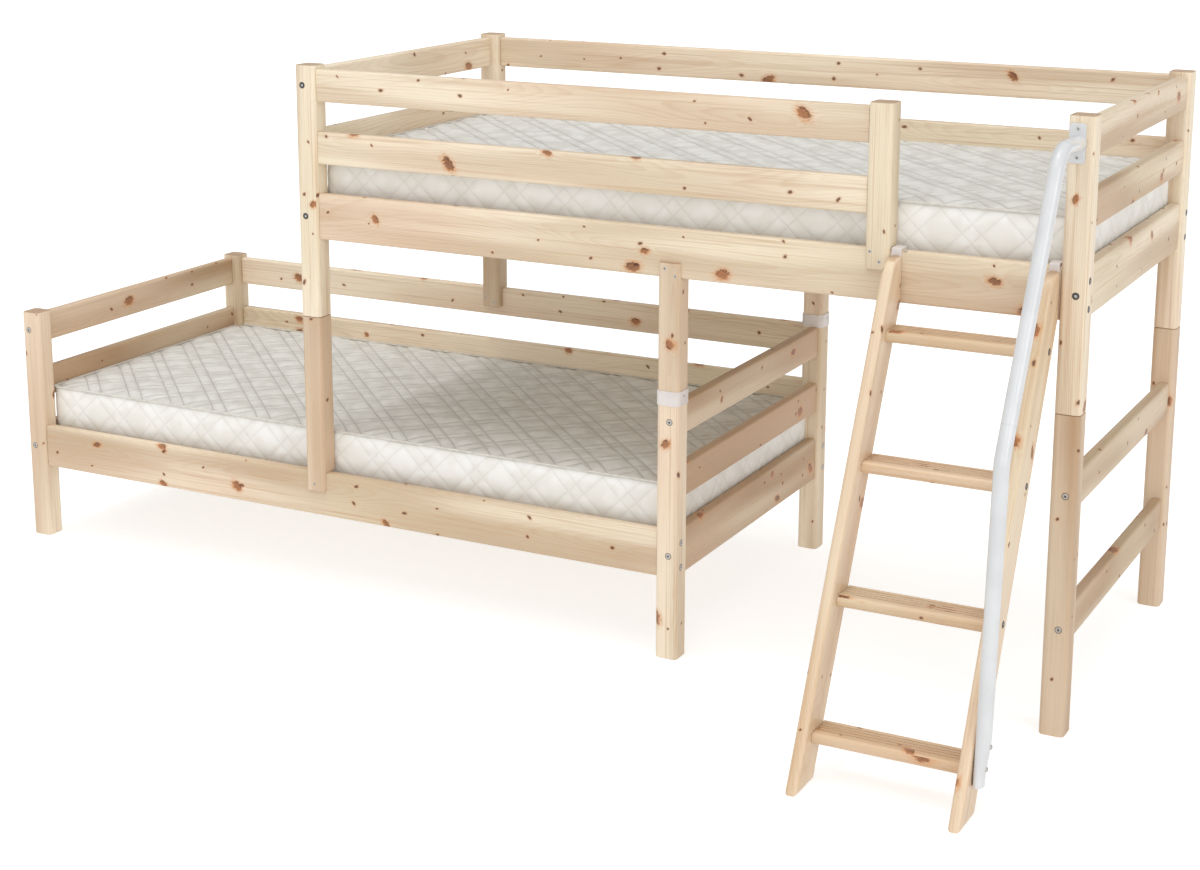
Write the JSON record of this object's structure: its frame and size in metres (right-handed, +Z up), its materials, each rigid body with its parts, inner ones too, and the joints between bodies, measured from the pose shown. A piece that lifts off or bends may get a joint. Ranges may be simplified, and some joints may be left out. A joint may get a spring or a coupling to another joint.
{
  "type": "loft bed",
  "caption": "Pine loft bed standing offset over a single bed on legs, with guard rails, a slanted ladder with treads, a white tube handrail and quilted mattresses.",
  "frame": {"origin": "on the floor, under the middle of the bed's bounding box", "axes": "+X along both beds towards the legs and the ladder's end, -Y towards the person facing the ladder, +Z up"},
  "size_m": [3.085, 1.5686, 1.436],
  "materials": {
    "pine": "satin",
    "lacquered_pine": "satin",
    "birch": "matte",
    "ticking": "matte",
    "white_steel": "gloss",
    "white_plastic": "satin",
    "zinc": "satin"
  },
  "bodies": {
    "root": {"collar_back": "white_plastic", "collar_front": "white_plastic", "handrail_lower": "white_steel", "handrail_upper": "white_steel", "ladder_hook_left": "white_plastic", "ladder_hook_right": "white_plastic", "ladder_stringer_left": "lacquered_pine", "ladder_stringer_right": "lacquered_pine", "ladder_tread_1": "lacquered_pine", "ladder_tread_2": "lacquered_pine", "ladder_tread_3": "lacquered_pine", "ladder_tread_4": "lacquered_pine", "leg_back": "pine", "leg_cross_rail_1": "pine", "leg_cross_rail_2": "pine", "leg_front": "pine", "lower_back_slat_middle": "pine", "lower_back_slat_top": "pine", "lower_cleat_back": "pine", "lower_cleat_front": "pine", "lower_left_end_rail": "pine", "lower_left_end_slat_middle": "pine", "lower_left_end_slat_top": "pine", "lower_mattress": "ticking", "lower_post_back_left": "pine", "lower_post_back_right": "pine", "lower_post_front_left": "pine", "lower_post_front_right": "pine", "lower_right_end_rail": "pine", "lower_right_end_slat_middle": "pine", "lower_right_end_slat_top": "pine", "lower_side_rail_back": "pine", "lower_side_rail_front": "pine", "lower_slatted_base": "birch", "support_back": "pine", "support_front": "pine", "upper_back_slat_middle": "pine", "upper_back_slat_top": "pine", "upper_cleat_back": "pine", "upper_cleat_front": "pine", "upper_front_slat_middle": "pine", "upper_front_slat_top": "pine", "upper_guard_post": "pine", "upper_hanger_back": "pine", "upper_hanger_front": "pine", "upper_left_end_rail": "pine", "upper_left_end_slat_middle": "pine", "upper_left_end_slat_top": "pine", "upper_mattress": "ticking", "upper_post_back_left": "pine", "upper_post_back_right": "pine", "upper_post_front_left": "pine", "upper_post_front_right": "pine", "upper_right_end_rail": "pine", "upper_right_end_slat_middle": "pine", "upper_right_end_slat_top": "pine", "upper_side_rail_back": "pine", "upper_side_rail_front": "pine", "upper_slatted_base": "birch"}
  },
  "joints": []
}
